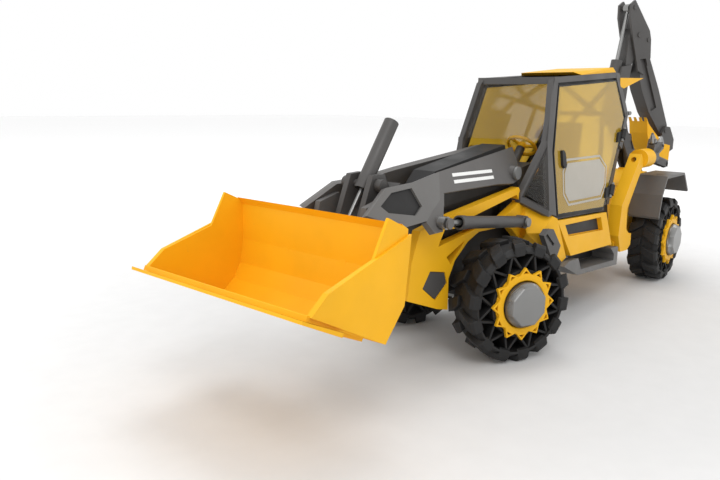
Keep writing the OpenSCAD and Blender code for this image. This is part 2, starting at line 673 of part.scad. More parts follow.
hoe_outline = [[-49, 150], [-62, 139], [-78, 127], [-89, 125], [-89, 103], [-76, 104.5], [-65, 110], [-57, 121],
               [-51, 138]];
module hoe_bucket() color(yellow) swung() {
    difference() {
        slab(hoe_outline, -11, 11);
        slab([[-50, 156], [-53, 139], [-59, 122.4], [-66.4, 112], [-76.4, 106.6], [-86.8, 105.2], [-86.8, 131],
              [-78, 134]], -9.4, 9.4);
    }
    for (y = [-9.5:6.33:9.5]) translate([0, y, 0]) slab([[-49, 149.6], [-47, 154], [-51.5, 148], [-51, 141]], -1.6, 1.6);
}

module bucket_coupler() color(dark) swung() {
    difference() {
        for (s = [-1, 1]) slab([[-80, 145], [-87, 144], [-95, 131], [-95, 121], [-89.1, 118], [-89.1, 125.1], [-78, 127.1],
                                [-75, 138]], s > 0 ? 7.4 : -10.4, s > 0 ? 10.4 : -7.4);
        bar(dig_pin, 1.9, -20, 20);
    }
    bar(dig_pin, 2, -11.4, 11.4);
    slab([[-95, 131], [-95, 121], [-91, 121], [-91, 131]], -7.5, 7.5);
}

// A barrel whose two ears hold a pin at its foot; it points along +z.
module eared_barrel(r_out, r_in, length) difference() {
    union() {
        translate([0, 0, 4.6]) cylinder(h = length - 4.6, r = r_out);
        for (s = [-1, 1]) translate([0, s * 3.8, 0]) rotate([90, 0, 0]) translate([0, 0, -1.1]) cylinder(h = 2.2, r = 3.6);
        for (s = [-1, 1]) translate([-3, s * 3.8 - 1.1, 0]) cube([6, 2.2, 6]);
    }
    translate([0, 0, 6.4]) cylinder(h = length, r = r_in);
    rotate([90, 0, 0]) translate([0, 0, -10]) cylinder(h = 20, r = 2 + run);
}

module crowd_barrel() color(dark) swung() aimed(crowd_base, crowd_pin) eared_barrel(5.4, 4.7, 60);

module crowd_rod() color(steel) swung() aimed(crowd_pin, crowd_base) difference() {
    union() {
        translate([0, 0, 2]) cylinder(h = 72, r = 1.8);
        rotate([90, 0, 0]) translate([0, 0, -3]) cylinder(h = 6, r = 4);
    }
    rotate([90, 0, 0]) translate([0, 0, -10]) cylinder(h = 20, r = 2 + run);
}

module boom_barrel() color(dark) swung() aimed(boom_cyl_base, boom_cyl_pin) eared_barrel(4.9, 4.2, 46);

module boom_rod() color(steel) swung() aimed(boom_cyl_pin, boom_cyl_base) {
    translate([0, 0, 1]) cylinder(h = 50, r = 1.9);
    rotate([90, 0, 0]) translate([0, 0, -7.9]) cylinder(h = 15.8, r = 2);
}

chassis_left();
chassis_right();
chassis_core();
chassis_guards();
rear_frame();
hood();
front_axle_beam();
rear_axle();
pivot_pins();
cab_frame();
roof_cap();
cab_glass();
side_panels();
side_steps();
seat();
dashboard();
rear_fenders();
centred() front_place(1) tyre();  // tyre_fl
centred() front_place(-1) tyre();  // tyre_fr
centred() rear_place(1) tyre();  // tyre_rl
centred() rear_place(-1) tyre();  // tyre_rr
centred() front_place(1) star_rim();  // star_rim_fl
centred() front_place(-1) star_rim();  // star_rim_fr
centred() rear_place(1) star_rim();  // star_rim_rl
centred() rear_place(-1) star_rim();  // star_rim_rr
centred() front_place(1) hub_cap();  // hub_cap_fl
centred() front_place(-1) hub_cap();  // hub_cap_fr
centred() rear_place(1) hub_cap();  // hub_cap_rl
centred() rear_place(-1) hub_cap();  // hub_cap_rr
centred() knuckle_place(1) knuckle();  // knuckle_left
centred() knuckle_place(-1) knuckle();  // knuckle_right
tie_rod();
steering_wheel();
arm_left();
arm_right();
arm_plates();
loader_yoke();
loader_bucket();
cutting_edge();
tilt_barrel();
tilt_rod();
lift_barrels();
lift_rods();
centred() door_glass();  // door_glass_left
centred() door_fittings();  // door_fittings_left
centred() mirror([0, 1, 0]) door_glass();  // door_glass_right
centred() mirror([0, 1, 0]) door_fittings();  // door_fittings_right
stabiliser_left();
claw_left();
stabiliser_right();
claw_right();
swing_post();
boom();
stick();
hoe_bucket();
bucket_coupler();
boom_barrel();
boom_rod();
crowd_barrel();
crowd_rod();
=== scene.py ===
"""Looks of the toy backhoe loader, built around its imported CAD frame."""
import json
import math

import bmesh
import bpy
from mathutils import Matrix, Vector


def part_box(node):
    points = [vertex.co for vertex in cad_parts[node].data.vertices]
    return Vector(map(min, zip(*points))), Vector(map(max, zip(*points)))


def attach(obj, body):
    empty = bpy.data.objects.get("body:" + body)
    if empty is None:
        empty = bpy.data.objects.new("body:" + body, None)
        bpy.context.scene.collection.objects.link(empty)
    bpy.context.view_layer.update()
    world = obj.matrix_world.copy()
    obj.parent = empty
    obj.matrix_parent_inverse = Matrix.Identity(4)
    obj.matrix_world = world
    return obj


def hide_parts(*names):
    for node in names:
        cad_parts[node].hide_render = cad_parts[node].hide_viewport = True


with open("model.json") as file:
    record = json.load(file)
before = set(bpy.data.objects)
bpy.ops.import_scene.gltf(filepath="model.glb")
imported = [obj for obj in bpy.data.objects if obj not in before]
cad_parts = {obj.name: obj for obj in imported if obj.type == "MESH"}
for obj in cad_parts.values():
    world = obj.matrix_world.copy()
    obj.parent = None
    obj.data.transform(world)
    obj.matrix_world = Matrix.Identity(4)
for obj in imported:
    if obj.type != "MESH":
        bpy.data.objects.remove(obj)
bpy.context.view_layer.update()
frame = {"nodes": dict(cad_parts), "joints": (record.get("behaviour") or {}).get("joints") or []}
NODES = frame["nodes"]
JOINTS = {joint["name"]: joint for joint in frame["joints"]}
MM = 0.001
SIDES = (("left", 1), ("right", -1))


def middle(node):
    low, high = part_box(node)
    return (low + high) / 2


REAR_AXLE_X = middle("tyre_rl").x


def at(x, y, z):
    """A point given in millimetres from the ground under the rear axle."""
    return Vector((REAR_AXLE_X + x * MM, y * MM, z * MM))


# ------------------------------------------------------------------ materials
# Scales of the noise patterns, in the object's own space
MOTTLE, GLOSS, SCUFFS = 28.0, 45.0, 160.0
TINT, HAZE, RIPPLES = 14.0, 60.0, 20.0
GRAIN_DEPTH = 0.0004
RIPPLE_DEPTH = 0.0003
RIPPLE_STRENGTH = 0.01
PLASTIC_IOR = 1.49
SHEET_SHINE = 0.25


def new_material(name):
    material = bpy.data.materials.new(name)
    material.use_nodes = True
    return material, material.node_tree.nodes, material.node_tree.links


def noise(nodes, links, scale, detail=3.0, rough=0.55, stretch=None):
    """A noise texture in the object's own space."""
    coords = nodes.new("ShaderNodeTexCoord")
    tex = nodes.new("ShaderNodeTexNoise")
    tex.inputs["Scale"].default_value = scale
    tex.inputs["Detail"].default_value = detail
    tex.inputs["Roughness"].default_value = rough
    if stretch:
        mapping = nodes.new("ShaderNodeMapping")
        mapping.inputs["Scale"].default_value = stretch
        links.new(coords.outputs["Object"], mapping.inputs["Vector"])
        links.new(mapping.outputs["Vector"], tex.inputs["Vector"])
    else:
        links.new(coords.outputs["Object"], tex.inputs["Vector"])
    return tex.outputs["Fac"]


def ramp(nodes, links, factor, stops):
    """A colour ramp from (place, value or colour) stops."""
    node = nodes.new("ShaderNodeValToRGB")
    elements = node.color_ramp.elements
    while len(elements) < len(stops):
        elements.new(0.5)
    for element, (place, value) in zip(elements, stops):
        element.position = place
        element.color = (*value, 1) if hasattr(value, "__len__") else (value, value, value, 1)
    links.new(factor, node.inputs["Fac"])
    return node.outputs["Color"]


def add_bump(nodes, links, shader, height, strength, depth):
    bump_node = nodes.new("ShaderNodeBump")
    bump_node.inputs["Strength"].default_value = strength
    bump_node.inputs["Distance"].default_value = depth
    links.new(height, bump_node.inputs["Height"])
    links.new(bump_node.outputs["Normal"], shader.inputs["Normal"])


def moulded(name, color, rough, spread, grain, bump, metallic=0.0, shine=0.5, worn=None, brushed=None):
    """A moulded, painted or machined surface with mottled colour, uneven gloss and fine grain.

    worn is the colour of small scuffs, and brushed stretches the grain.
    """
    material, nodes, links = new_material(name)
    shader = nodes["Principled BSDF"]
    shader.inputs["Metallic"].default_value = metallic
    shader.inputs["Specular IOR Level"].default_value = shine
    dark = tuple(c * (1 - spread) for c in color)
    light = tuple(min(1.0, c * (1 + 0.5 * spread)) for c in color)
    base = ramp(nodes, links, noise(nodes, links, MOTTLE), [(0.3, dark), (0.7, light)])
    if worn:
        scuff = noise(nodes, links, SCUFFS, 6.0, 0.7)
        mask = ramp(nodes, links, scuff, [(0.66, 0.0), (0.74, 0.55)])
        mix = nodes.new("ShaderNodeMix")
        mix.data_type = "RGBA"
        links.new(mask, mix.inputs["Factor"])
        links.new(base, mix.inputs["A"])
        mix.inputs["B"].default_value = (*worn, 1)
        base = mix.outputs["Result"]
    links.new(base, shader.inputs["Base Color"])
    gloss = ramp(nodes, links, noise(nodes, links, GLOSS, 4.0),
                 [(0.3, rough * 0.82), (0.75, min(1.0, rough * 1.2))])
    links.new(gloss, shader.inputs["Roughness"])
    add_bump(nodes, links, shader, noise(nodes, links, grain, 2.0, 0.5, brushed), bump, GRAIN_DEPTH)
    return material


def clear_sheet(name, color, alpha, rough, through=0.0):
    """Tinted clear plastic with faint haze and ripples."""
    material, nodes, links = new_material(name)
    shader = nodes["Principled BSDF"]
    shader.inputs["Alpha"].default_value = alpha
    shader.inputs["IOR"].default_value = PLASTIC_IOR
    shader.inputs["Specular IOR Level"].default_value = SHEET_SHINE
    shader.inputs["Transmission Weight"].default_value = through
    dark = tuple(c * 0.93 for c in color)
    links.new(ramp(nodes, links, noise(nodes, links, TINT), [(0.35, dark), (0.65, color)]),
              shader.inputs["Base Color"])
    links.new(ramp(nodes, links, noise(nodes, links, HAZE), [(0.3, rough * 0.7), (0.7, rough * 1.5)]),
              shader.inputs["Roughness"])
    add_bump(nodes, links, shader, noise(nodes, links, RIPPLES, 1.0), RIPPLE_STRENGTH, RIPPLE_DEPTH)
    material.surface_render_method = "BLENDED"
    return material


YELLOW = moulded("yellow_plastic", (0.80, 0.42, 0.010), 0.48, 0.05, 1100, 0.04, shine=0.22)
BUCKET = moulded("bucket_paint", (0.84, 0.425, 0.008), 0.50, 0.07, 700, 0.06, shine=0.22,
                 worn=(0.66, 0.35, 0.02))
CHARCOAL = moulded("charcoal_plastic", (0.062, 0.059, 0.057), 0.48, 0.14, 1200, 0.08)
# Painted light: a lighter copy of the charcoal plastic that stands in for the light on the loader arms and
# rear fenders
LIT_CHARCOAL = moulded("charcoal_painted_lit", (0.098, 0.093, 0.089), 0.46, 0.10, 1200, 0.06)
DEEP = moulded("deep_charcoal", (0.018, 0.0175, 0.0175), 0.55, 0.16, 1000, 0.08, shine=0.3)
GREY = moulded("mid_grey_plastic", (0.125, 0.121, 0.116), 0.5, 0.08, 1200, 0.06)
RUBBER = moulded("tyre_rubber", (0.013, 0.0126, 0.0126), 0.60, 0.22, 800, 0.12, shine=0.35,
                 worn=(0.026, 0.025, 0.025))
STEEL = moulded("bright_steel", (0.27, 0.27, 0.265), 0.34, 0.06, 260, 0.05, metallic=0.85,
                brushed=(1.0, 12.0, 1.0))
PIN_STEEL = moulded("pin_steel", (0.22, 0.22, 0.215), 0.42, 0.08, 400, 0.05, metallic=0.5)
WHITE = moulded("white_print", (0.80, 0.80, 0.78), 0.5, 0.04, 900, 0.03)
FROST = clear_sheet("frosted_print", (0.54, 0.51, 0.45), 0.80, 0.5)
AMBER = clear_sheet("amber_sheet", (0.74, 0.48, 0.045), 1.0, 0.06, 0.62)
CLEAR = clear_sheet("clear_sheet", (0.20, 0.195, 0.185), 0.10, 0.08)
SEAT = moulded("seat_grain", (0.032, 0.031, 0.033), 0.66, 0.15, 420, 0.25)

NODE_LOOKS = {
    "chassis_left": YELLOW, "chassis_right": YELLOW, "chassis_core": DEEP, "chassis_guards": CHARCOAL,
    "rear_frame": YELLOW, "hood": DEEP, "front_axle_beam": DEEP, "rear_axle": STEEL, "pivot_pins": PIN_STEEL,
    "cab_frame": CHARCOAL, "roof_cap": YELLOW, "cab_glass": CLEAR, "side_panels": YELLOW, "side_steps": GREY,
    "seat": SEAT, "dashboard": CHARCOAL, "rear_fenders": LIT_CHARCOAL, "knuckle_left": DEEP, "knuckle_right": DEEP,
    "tie_rod": PIN_STEEL, "steering_wheel": YELLOW, "arm_left": LIT_CHARCOAL, "arm_right": LIT_CHARCOAL,
    "arm_plates": GREY, "loader_yoke": CHARCOAL, "loader_bucket": BUCKET, "cutting_edge": BUCKET,
    "tilt_barrel": CHARCOAL, "tilt_rod": STEEL, "lift_barrels": CHARCOAL, "lift_rods": STEEL,
    "door_glass_left": AMBER, "door_glass_right": AMBER,
    "door_fittings_left": DEEP, "door_fittings_right": DEEP,
    "stabiliser_left": YELLOW, "stabiliser_right": YELLOW, "claw_left": CHARCOAL, "claw_right": CHARCOAL,
    "swing_post": YELLOW, "boom": CHARCOAL, "stick": CHARCOAL, "hoe_bucket": BUCKET,
    "bucket_coupler": CHARCOAL,
    "boom_barrel": CHARCOAL, "boom_rod": STEEL, "crowd_barrel": CHARCOAL, "crowd_rod": STEEL,
}
# Bevel widths in millimetres, where a node differs from EDGE_WIDTH; 0 means no bevel
EDGE_WIDTH = 0.5
EDGE = {"cab_glass": 0.0, "door_glass_left": 0.25, "door_glass_right": 0.25, "loader_bucket": 0.35,
        "steering_wheel": 0.1, "pivot_pins": 0.3, "cutting_edge": 0.3}


def finish_edges(obj, width_mm):
    bevel = obj.modifiers.new("edges", "BEVEL")
    bevel.width = width_mm * MM
    bevel.segments = 2
    bevel.limit_method = "ANGLE"
    bevel.angle_limit = math.radians(28)
    bevel.harden_normals = True
    bevel.use_clamp_overlap = True


def dress_cad_nodes():
    for name, look in NODE_LOOKS.items():
        obj = NODES[name]
        obj.data.materials.clear()
        obj.data.materials.append(look)
        width_mm = EDGE.get(name, EDGE_WIDTH)
        if width_mm:
            finish_edges(obj, width_mm)


# ------------------------------------------------------------------ mesh help
def piece(name, mesh, body, look, slot, edge_mm=0.0, smooth=False):
    """A new object from a bmesh, riding on a body."""
    data = bpy.data.meshes.new(name)
    bmesh.ops.recalc_face_normals(mesh, faces=mesh.faces)
    mesh.to_mesh(data)
    mesh.free()
    obj = bpy.data.objects.new(name, data)
    bpy.context.scene.collection.objects.link(obj)
    data.materials.append(look)
    if smooth:
        for polygon in data.polygons:
            polygon.use_smooth = True
    if edge_mm:
        finish_edges(obj, edge_mm)
    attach(obj, body)
    return obj


def add_prism(mesh, rings):
    """Joins equal rings of points into a closed shape."""
    loops = [[mesh.verts.new(p) for p in ring] for ring in rings]
    count = len(loops[0])
    for first, second in zip(loops, loops[1:]):
        for i in range(count):
            j = (i + 1) % count
            mesh.faces.new((first[i], first[j], second[j], second[i]))
    mesh.faces.new(loops[0][::-1])
    mesh.faces.new(loops[-1])


def add_ring(mesh, profile, steps):
    """Turns a closed (radius, along) profile round the local Y axis."""
    loops = []
    for i in range(steps):
        a = 2 * math.pi * i / steps
        loops.append([mesh.verts.new((r * math.cos(a), y, r * math.sin(a))) for r, y in profile])
    count = len(profile)
    for i in range(steps):
        first, second = loops[i], loops[(i + 1) % steps]
        for k in range(count):
            m = (k + 1) % count
            mesh.faces.new((first[k], first[m], second[m], second[k]))


# ------------------------------------------------------------------ wheels
WHEELS = ("fl", "fr", "rl", "rr")
TYRE_LOW, TYRE_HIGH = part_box("tyre_rl")
TYRE_R = (TYRE_HIGH.z - TYRE_LOW.z) / 2
TYRE_HALF = (TYRE_HIGH.y - TYRE_LOW.y) / 2
TREAD_R = TYRE_R - 3.6 * MM
BAND_R = 0.81 * TYRE_R
STAR_R = 0.605 * TYRE_R
RIM_R = 0.49 * TYRE_R
HUB_R = 0.375 * TYRE_R
# The tyre's inner ring sits on the rim's drum
SLEEVE_IN_R, SLEEVE_OUT_R = 20.1 * MM, 22.3 * MM
DRUM_IN_R, DRUM_OUT_R = 18 * MM, 20 * MM
BORE_R, BOSS_R = 2.6 * MM, 6 * MM
WEB_BACK, WEB_FACE = 4 * MM, 7 * MM
BOSS_BACK, BOSS_FACE = -9 * MM, 4.2 * MM
SPOKE_HALF, SPOKE_FOOT_R = 0.85 * MM, 21.6 * MM
TIP_HALF_TURN, WINDOW_HALF_TURN = 0.27, 0.105
TIPS = 12
LUGS = 14
ROUND = 72


def wheel_matrix(wheel):
    """Turns local +Y to point out of the wheel."""
    side = 1 if wheel.endswith("l") else -1
    axis = Vector(JOINTS[f"wheel_{wheel}_spin"]["axis"]).normalized() * side
    up = Vector((0, 0, 1))
    forward = axis.cross(up).normalized()
    turn = Matrix((forward, axis, up)).transposed().to_4x4()
    return Matrix.Translation(middle(f"tyre_{wheel}")) @ turn


def round_point(r, angle, along):
    return Vector((r * math.cos(angle), along, r * math.sin(angle)))


def tyre_mesh():
    """The tyre: a tread band, an inner ring, zigzag spokes between them and chevron lugs."""
    mesh = bmesh.new()
    h = TYRE_HALF
    add_ring(mesh, [(BAND_R, -h + 0.6 * MM), (BAND_R + 1.5 * MM, -h + 0.1 * MM),
                    (TREAD_R - 2 * MM, -h + 0.7 * MM), (TREAD_R, -h + 3.4 * MM), (TREAD_R + 0.5 * MM, 0),
                    (TREAD_R, h - 3.4 * MM), (TREAD_R - 2 * MM, h - 0.7 * MM),
                    (BAND_R + 1.5 * MM, h - 0.1 * MM), (BAND_R, h - 0.6 * MM)], 84)
    add_ring(mesh, [(SLEEVE_IN_R, -h + 1 * MM), (SLEEVE_OUT_R, -h + 1 * MM), (SLEEVE_OUT_R, h - 1 * MM),
                    (SLEEVE_IN_R, h - 1 * MM)], ROUND)
    pitch = 2 * math.pi / TIPS
    for i in range(TIPS):
        for lean in (-1, 1):
            a, b = i * pitch, (i + 0.5 * lean) * pitch
            add_spoke(mesh, round_point(SPOKE_FOOT_R, a, 0), round_point(BAND_R + 0.8 * MM, b, 0))
    for i in range(LUGS):
        for side in (-1, 1):
            add_lug(mesh, 2 * math.pi * (i + (0.25 if side > 0 else -0.25)) / LUGS, side)
    return mesh


def add_spoke(mesh, inner, outer):
    """A flat spoke across most of the tyre's width."""
    h = TYRE_HALF - 1.6 * MM
    across = Vector((0, 1, 0)).cross((outer - inner).normalized()) * SPOKE_HALF
    rings = []
    for y in (-h, h):
        side = Vector((0, y, 0))
        rings.append([inner - across + side, outer - across + side,
                      outer + across + side, inner + across + side])
    add_prism(mesh, rings)


def add_lug(mesh, angle, side):
    """A chevron lug that wraps from the shoulder on to the tread and points to the middle.

    Each stage of its path is a turn in lug pitches, a share of the half width, a radius and a height.
    """
    h = TYRE_HALF
    wide = 2 * math.pi / LUGS
    path = [(0.0, 1.000, TREAD_R - 5.0 * MM, 0.5 * MM), (0.0, 0.985, TREAD_R - 1.2 * MM, 2.4 * MM),
            (0.03, 0.87, TREAD_R, 3.4 * MM), (0.16, 0.52, TREAD_R, 3.6 * MM), (0.40, 0.05, TREAD_R, 3.3 * MM)]
    rings = []
    for turn, out, r, tall in path:
        a = angle + turn * wide
        half = wide * (0.30 if out > 0.5 else 0.24)
        y = side * out * h
        at_shoulder = out > 0.99
        foot_r = r - (0.5 if at_shoulder else 0.8) * MM
        foot_y = side * (h - 2.5 * MM) if at_shoulder else y
        top = min(TYRE_R - 1.2 * MM if at_shoulder else TYRE_R, r + tall)
        rings.append([round_point(foot_r, a - half, foot_y), round_point(top, a - half * 0.8, y),
                      round_point(top, a + half * 0.8, y), round_point(foot_r, a + half, foot_y)])
    add_prism(mesh, rings)


def star_mesh():
    """The rim: a drum, a web and a star-shaped face with a small window in each tip."""
    mesh = bmesh.new()
    h = TYRE_HALF
    add_ring(mesh, [(DRUM_IN_R, -h + 1 * MM), (DRUM_OUT_R, -h + 1 * MM), (DRUM_OUT_R, h - 0.4 * MM),
                    (DRUM_IN_R, h - 0.4 * MM)], ROUND)
    web_r = DRUM_IN_R + 0.5 * MM
    add_ring(mesh, [(BORE_R, WEB_BACK), (web_r, WEB_BACK), (web_r, WEB_FACE), (BOSS_R, WEB_FACE),
                    (BORE_R, WEB_FACE)], ROUND)
    add_ring(mesh, [(BORE_R, BOSS_BACK), (BOSS_R, BOSS_BACK), (BOSS_R, BOSS_FACE), (BORE_R, BOSS_FACE)], 48)
    face, back = h + 1.9 * MM, h - 0.5 * MM
    add_ring(mesh, [(HUB_R + 0.6 * MM, back), (RIM_R, back), (RIM_R, face - 0.5 * MM),
                    (RIM_R - 0.8 * MM, face), (HUB_R + 1.2 * MM, face),
                    (HUB_R + 0.6 * MM, face - 0.5 * MM)], 96)
    pitch = 2 * math.pi / TIPS
    for i in range(TIPS):
        add_tip(mesh, i * pitch, back, face)
    return mesh


def add_tip(mesh, angle, back, face):
    """A triangular tip round a triangular window."""
    foot = RIM_R - 0.6 * MM
    window_foot = foot + 1.4 * MM
    outer = [(foot, -TIP_HALF_TURN), (STAR_R, 0.0), (foot, TIP_HALF_TURN)]
    window = [(window_foot, -WINDOW_HALF_TURN), (STAR_R - 1.9 * MM, 0.0), (window_foot, WINDOW_HALF_TURN)]
    loops = []
    for y, bevel in ((back, 0.0), (face - 0.5 * MM, 0.0), (face - 0.05 * MM, 0.45 * MM)):
        narrower = 1 - bevel * 90
        loops.append([mesh.verts.new(round_point(r - bevel * (1 if k == 1 else 0), angle + a * narrower, y))
                      for k, (r, a) in enumerate(outer)])
    inner = []
    for y in (face - 0.05 * MM, back):
        inner.append([mesh.verts.new(round_point(r, angle + a, y)) for r, a in window])
    shells = [loops[0], loops[1], loops[2], inner[0], inner[1], loops[0]]
    for first, second in zip(shells, shells[1:]):
        for k in range(3):
            m = (k + 1) % 3
            mesh.faces.new((first[k], first[m], second[m], second[k]))


def hub_mesh():
    """An eight-sided cap whose foot is finely serrated."""
    mesh = bmesh.new()
    foot_y, face_y = TYRE_HALF + 1.0 * MM, TYRE_HALF + 7.4 * MM
    teeth = 96
    # Each level is a share of the height, a radius, a tooth depth and how far the ring is eight-sided
    levels = [(0.0, HUB_R, 0.22, 0.0), (0.26, HUB_R, 0.30, 0.0), (0.42, HUB_R * 0.985, 0.26, 0.35),
              (0.93, HUB_R * 0.87, 0.0, 1.0), (1.0, HUB_R * 0.83, 0.0, 1.0)]
    rings = []
    for share, radius, tooth, eight in levels:
        ring = []
        for i in range(teeth * 2):
            a = math.pi * i / teeth
            corner = (a + math.pi / 8) % (math.pi / 4) - math.pi / 8
            flat = math.cos(math.pi / 8) / math.cos(corner) * 1.03
            r = radius * ((1 - eight) + eight * flat) + (tooth * MM if i % 2 else -tooth * MM)
            ring.append(round_point(min(r, HUB_R), a, foot_y + share * (face_y - foot_y)))
        rings.append(ring)
    add_prism(mesh, rings)
    return mesh


def build_wheels():
    for wheel in WHEELS:
        place = wheel_matrix(wheel)
        for kind, maker, look, slot, edge in (("tyre", tyre_mesh, RUBBER, "tyre", 0.45),
                                              ("star_rim", star_mesh, YELLOW, "yellow_paint", 0.25),
                                              ("hub_cap", hub_mesh, STEEL, "bright_steel", 0.0)):
            mesh = maker()
            mesh.transform(place)
            obj = piece(f"{kind}_{wheel}_shape", mesh, f"wheel_{wheel}", look, slot, edge)
            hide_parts(f"{kind}_{wheel}")


# ------------------------------------------------------------------ small parts and prints
def leaning(foot_y, foot_z, lean, side):
    """Places (x, out, up) on a plane that leans in, in millimetres."""
    sine, cosine = math.sin(math.radians(lean)), math.cos(math.radians(lean))

    def place(x, out, up):
        rise = up - foot_z
        return at(x, side * (foot_y + out * cosine - rise * sine), foot_z + out * sine + rise * cosine)
    return place


CAB_FOOT_Y, CAB_LEAN = 55.7, 7.75
ARM_FOOT_Y, ARM_FOOT_Z, ARM_LEAN = 26.0, 105.0, 21.2


def cab_side(side):
    return leaning(CAB_FOOT_Y, 0.0, CAB_LEAN, side)


def arm_side(side):
    return leaning(ARM_FOOT_Y, ARM_FOOT_Z, ARM_LEAN, side)


def upright(side):
    return lambda x, out, up: at(x, side * out, up)


def add_plate(mesh, outline, inner, outer, place):
    """A flat plate between two distances out from a placed plane."""
    add_prism(mesh, [[place(x, out, up) for x, up in outline] for out in (inner, outer)])


def add_band(mesh, outline, width, inner, outer, place):
    """A closed band of even width that runs just inside an outline."""
    shrunk = inset(outline, width)
    count = len(outline)
    for i in range(count):
        j = (i + 1) % count
        add_plate(mesh, [outline[i], outline[j], shrunk[j], shrunk[i]], inner, outer, place)


def inset(outline, width):
    """The outline moved in by a width along each edge."""
    area = sum(a[0] * b[1] - b[0] * a[1] for a, b in zip(outline, outline[1:] + outline[:1]))
    sign = 1 if area > 0 else -1
    moved = []
    for i, corner in enumerate(outline):
        before, after = outline[i - 1], outline[(i + 1) % len(outline)]
        first = (Vector(corner) - Vector(before)).normalized()
        second = (Vector(after) - Vector(corner)).normalized()
        normal_a = Vector((-first.y, first.x)) * sign
        normal_b = Vector((-second.y, second.x)) * sign
        middle_way = (normal_a + normal_b).normalized()
        moved.append(tuple(Vector(corner) + middle_way * (width / max(0.3, middle_way.dot(normal_a)))))
    return moved


def add_turned(mesh, start, end, profile):
    """Turns (share, radius in millimetres) pairs round the line from start to end."""
    steps = 32
    axis = (end - start).normalized()
    across = axis.orthogonal().normalized()
    other = axis.cross(across)
    rings = []
    for share, radius in profile:
        centre = start.lerp(end, share)
        ring = []
        for i in range(steps):
            turn = 2 * math.pi * i / steps
            ring.append(centre + (across * math.cos(turn) + other * math.sin(turn)) * radius * MM)
        rings.append(ring)
    add_prism(mesh, rings)


# Outlines in millimetres: x, and the distance up the side plane that each lies in
DOOR = [(201.8, 180.4), (216.2, 132.4), (215, 87), (128, 83.2), (117.6, 97), (89.6, 132.6), (72.8, 156.2),
        (88.6, 188.2)]
DOOR_PANEL = [(196, 92), (204, 101), (203, 118), (195, 127), (132, 127), (118, 117), (122, 101), (133, 91)]
STEP_POCKET = [(188, 51.4), (122, 48.8), (112.4, 42), (112.4, 36.6), (181, 41)]
PANEL_POCKET = [(201.6, 77.7), (197.2, 70.2), (133, 66.2), (135.6, 75.5)]
# The arm window has true heights instead, which build_side_prints_and_painted_shade turns into distances up the arm
ARM_WINDOW = [(382, 116), (363, 117), (358, 106.5), (366, 102), (389, 106), (394, 110)]
STRIPES = ((116.2, 118.4), (120.6, 122.8))
STRIPE_START, STRIPE_END, STRIPE_RISE = 271, 319, 0.6
# Widths, and distances out from the side plane, in millimetres
SEAL_WIDTH, SEAL_BACK, SEAL_FACE = 1.1, -1.6, 0.12
STOP_REACH, STOP_WIDTH, STOP_BACK, STOP_FACE = 2.0, 3.2, -3.4, -1.8
BORDER_WIDTH, BORDER_TO_PANEL = 1.6, 3.4
PRINT_BACK, FROSTING_FACE, STRIPE_FACE = 0.02, 0.16, 0.14
# The shade depths place dark plates that paint the shade in the arm window and the two recesses
ARM_SHADE, STEP_SHADE, PANEL_SHADE = (-1.64, -1.3), (31.9, 32.3), (-3.7, -3.3)
SPIKE_LONG, COLLAR_BACK, COLLAR_FRONT = 9.05, 1.4, 0.5
SPIKE_PROFILE = [(0, 3.7), (0.12, 3.7), (0.85, 1.25), (1, 0.5)]
COLLAR_PROFILE = [(0, 3.3), (0.25, 4.0), (0.8, 4.0), (1, 3.6)]
# Where each claw spike starts on the left side, and its turn from upright in degrees
CLAW_TIPS = [((32.4, 48, 133), 20), ((18, 50, 130), -20), ((0, 50, 112), -80)]


def build_doors():
    """A seal round each glass, the stop it closes on and a plain frosted panel."""
    for name, side in SIDES:
        place = cab_side(side)
        mesh = bmesh.new()
        add_band(mesh, DOOR, SEAL_WIDTH, SEAL_BACK, SEAL_FACE, place)
        piece(f"door_{name}_seal", mesh, f"door_{name}", DEEP, "charcoal")
        mesh = bmesh.new()
        add_band(mesh, inset(DOOR, -STOP_REACH), STOP_WIDTH, STOP_BACK, STOP_FACE, place)
        piece(f"door_{name}_stop", mesh, "root", DEEP, "charcoal")
        mesh = bmesh.new()
        add_band(mesh, DOOR_PANEL, BORDER_WIDTH, PRINT_BACK, FROSTING_FACE, place)
        add_plate(mesh, inset(DOOR_PANEL, BORDER_TO_PANEL), PRINT_BACK, FROSTING_FACE, place)
        piece(f"door_{name}_frosting", mesh, f"door_{name}", FROST, "clear_glass")


def build_side_prints_and_painted_shade():
    """Two plain stripes on each arm, and dark plates that paint the shade in the window and the two recesses.
    """
    for name, side in SIDES:
        place = arm_side(side)
        mesh = bmesh.new()
        for low_z, high_z in STRIPES:
            stripe = [(STRIPE_START, low_z), (STRIPE_END, low_z + STRIPE_RISE),
                      (STRIPE_END, high_z + STRIPE_RISE), (STRIPE_START, high_z)]
            add_plate(mesh, stripe, PRINT_BACK, STRIPE_FACE, place)
        piece(f"arm_{name}_stripes", mesh, "loader_arms", WHITE, "mid_grey")
        # Dark plates paint the shade in the arm window, the step pocket and the panel pocket
        mesh = bmesh.new()
        slope = math.cos(math.radians(ARM_LEAN))
        sloped = [(x, ARM_FOOT_Z + (height - ARM_FOOT_Z) / slope) for x, height in ARM_WINDOW]
        add_plate(mesh, inset(sloped, 0.1), *ARM_SHADE, place)
        piece(f"arm_{name}_shade", mesh, "loader_arms", DEEP, "charcoal")
        mesh = bmesh.new()
        add_plate(mesh, inset(STEP_POCKET, 0.4), *STEP_SHADE, upright(side))
        piece(f"step_{name}_shade", mesh, "root", DEEP, "charcoal")
        mesh = bmesh.new()
        add_plate(mesh, PANEL_POCKET, *PANEL_SHADE, cab_side(side))
        piece(f"panel_{name}_shade", mesh, "root", DEEP, "charcoal")


